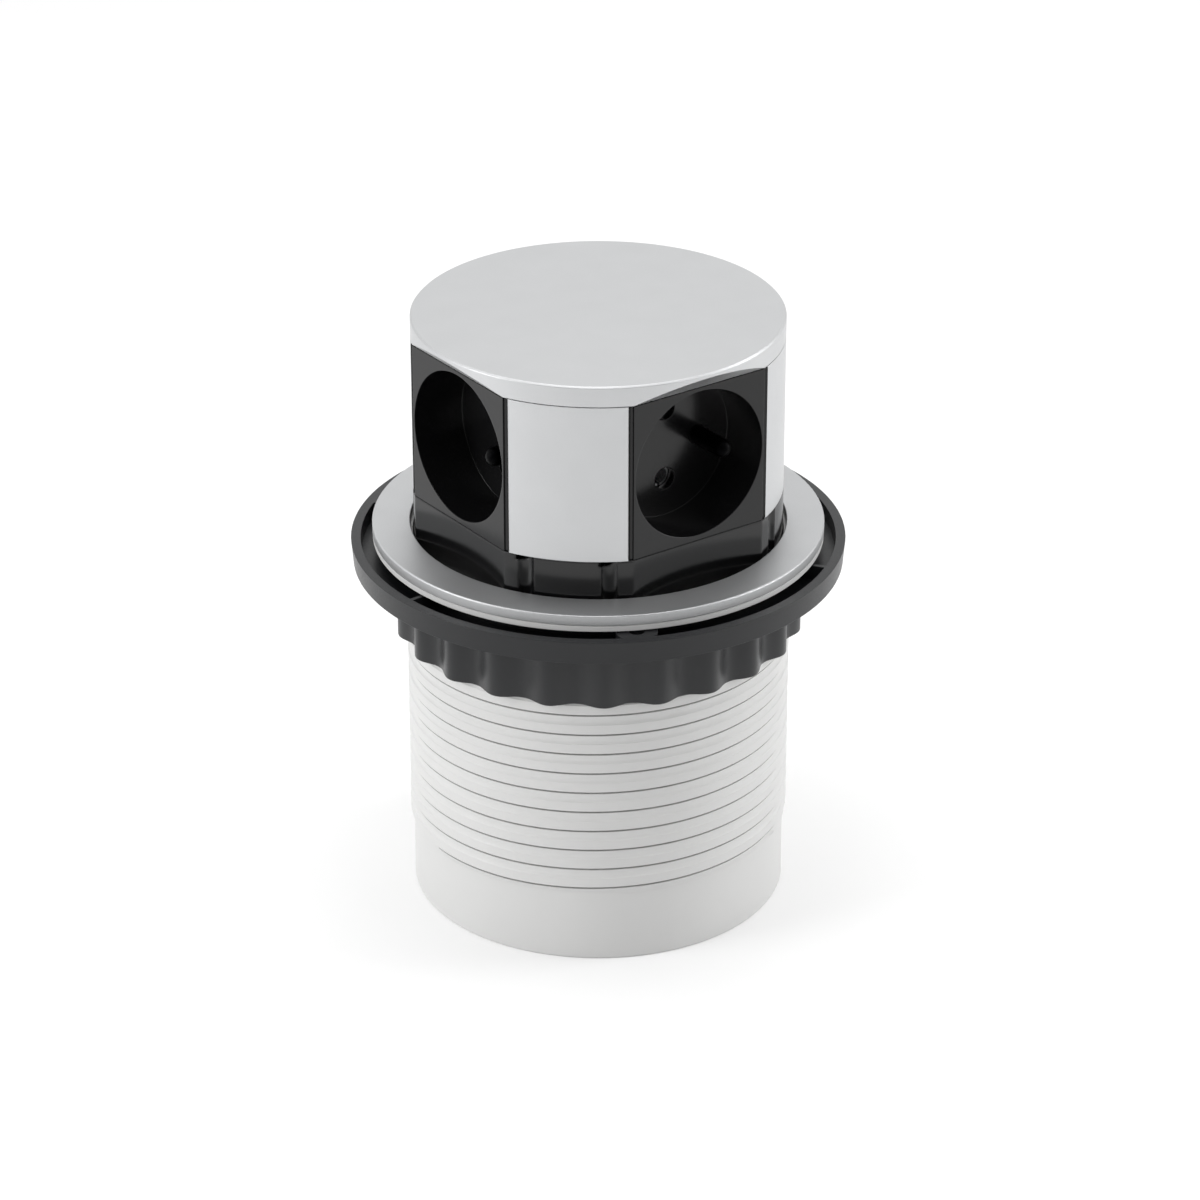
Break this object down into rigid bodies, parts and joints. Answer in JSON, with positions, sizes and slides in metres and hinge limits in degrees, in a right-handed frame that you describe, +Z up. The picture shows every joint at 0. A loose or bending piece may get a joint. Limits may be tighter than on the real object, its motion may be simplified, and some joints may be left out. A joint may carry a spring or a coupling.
{
  "type": "in-desk power module",
  "caption": "Pop-up socket tower for a round desk cut-out: a capped tower with sockets on its sides rises from a threaded sleeve held by a trim ring and a clamp nut.",
  "frame": {"origin": "centre of the sleeve's bottom edge, on the tower's axis", "axes": "+Z up along the tower's axis, -Y out of the first socket face, the others every quarter turn"},
  "size_m": [0.1266, 0.1266, 0.1593],
  "materials": {
    "satin_aluminium": "satin anodised",
    "ring_metal": "satin",
    "black_plastic": "fine matt texture",
    "nut_plastic": "semi-matt",
    "grey_plastic": "smooth, semi-matt",
    "pin_metal": "black nickel-plated",
    "brass": "bare",
    "terminal_plastic": "smooth",
    "screw_steel": "zinc-plated",
    "spring_steel": "drawn wire",
    "latch_plastic": "smooth",
    "gland_plastic": "smooth"
  },
  "bodies": {
    "housing": {"sleeve": "grey_plastic", "trim_ring": "ring_metal", "guide_shoe_1": "grey_plastic", "guide_shoe_2": "grey_plastic", "guide_shoe_3": "grey_plastic", "guide_shoe_4": "grey_plastic", "bottom_cover": "grey_plastic", "cover_screws": "screw_steel", "cable_gland": "gland_plastic", "gland_nut": "gland_plastic", "lift_spring": "spring_steel", "latch_body": "latch_plastic", "claw_pin_left": "screw_steel", "claw_pin_right": "screw_steel"},
    "tower": {"cap": "satin_aluminium", "column_strip_1": "satin_aluminium", "column_strip_2": "satin_aluminium", "column_strip_3": "satin_aluminium", "column_strip_4": "satin_aluminium", "earth_band": "brass", "earth_pin_1": "pin_metal", "earth_pin_2": "pin_metal", "earth_pin_3": "pin_metal", "earth_pin_4": "pin_metal", "earth_riser": "brass", "line_busbar": "brass", "line_contact_1": "brass", "line_contact_2": "brass", "line_contact_3": "brass", "line_contact_4": "brass", "line_riser": "brass", "neutral_busbar": "brass", "neutral_contact_1": "brass", "neutral_contact_2": "brass", "neutral_contact_3": "brass", "neutral_contact_4": "brass", "neutral_riser": "brass", "socket_insert_1": "black_plastic", "socket_insert_2": "black_plastic", "socket_insert_3": "black_plastic", "socket_insert_4": "black_plastic", "striker": "screw_steel", "striker_bracket": "screw_steel", "terminal_block": "terminal_plastic", "terminal_screws": "screw_steel", "tie_screws": "screw_steel", "tower_base": "black_plastic", "tower_floor": "black_plastic"},
    "clamp": {"clamp_nut": "nut_plastic"},
    "claw_right": {"claw_right": "screw_steel"},
    "claw_left": {"claw_left": "screw_steel"}
  },
  "joints": [
    {"name": "tower_slide", "type": "slide", "parent": "housing", "child": "tower", "axis": [0, 0, 1], "range_m": [-0.0575, 0], "stiffness_N_per_m": 170, "springref_m": 0.047, "deforming": ["lift_spring"]},
    {"name": "clamp_travel", "type": "slide", "parent": "housing", "child": "clamp", "axis": [0, 0, 1], "range_m": [-0.0565, 0]},
    {"name": "claw_right_swing", "type": "hinge", "parent": "housing", "child": "claw_right", "pos_m": [0.0085, 0.027, 0.012], "axis": [0, 1, 0], "range_deg": [-18, 0]},
    {"name": "claw_left_swing", "type": "hinge", "parent": "housing", "child": "claw_left", "pos_m": [-0.0085, 0.027, 0.012], "axis": [0, 1, 0], "range_deg": [0, 18]}
  ],
  "couplings": [
    {"joint": "claw_left_swing", "follows": "claw_right_swing", "ratio": -1}
  ]
}
